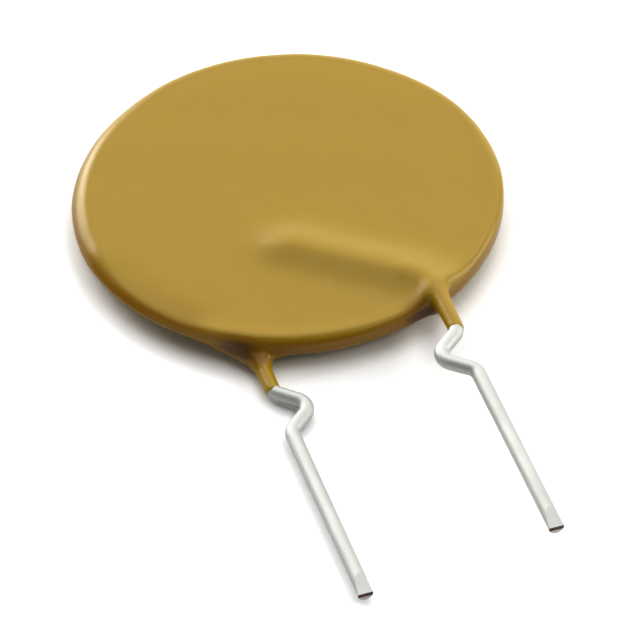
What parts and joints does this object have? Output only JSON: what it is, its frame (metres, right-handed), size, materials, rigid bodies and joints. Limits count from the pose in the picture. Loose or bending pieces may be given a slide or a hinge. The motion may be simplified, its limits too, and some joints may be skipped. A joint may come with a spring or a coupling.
{
  "type": "resettable fuse",
  "caption": "Flat round resettable fuse in a glossy ochre dipped coating that drapes over its soldered leads, with kinked tinned wire leads for mounting on a circuit board",
  "frame": {"origin": "Midway between the two leads, in the board plane, where the front lead's kink ends and its straight pin starts, at the middle of the disc's thickness.", "axes": "+Z is out of the front face and up as the fuse lies on its rear face, +Y runs from the lead tips to the disc, +X runs from the rear lead to the front lead."},
  "size_m": [0.0238, 0.0412, 0.0028],
  "materials": {
    "coating": "dipped epoxy, soft gloss",
    "polymer": "carbon filled, matt",
    "foil": "nickel foil, satin",
    "solder": "solder, satin",
    "lead": "tin plated copper, bright"
  },
  "bodies": {
    "root": {"epoxy_coating": "coating", "polymer_disc": "polymer", "front_foil": "foil", "rear_foil": "foil", "front_solder": "solder", "rear_solder": "solder", "front_lead": "lead", "rear_lead": "lead"}
  },
  "joints": []
}
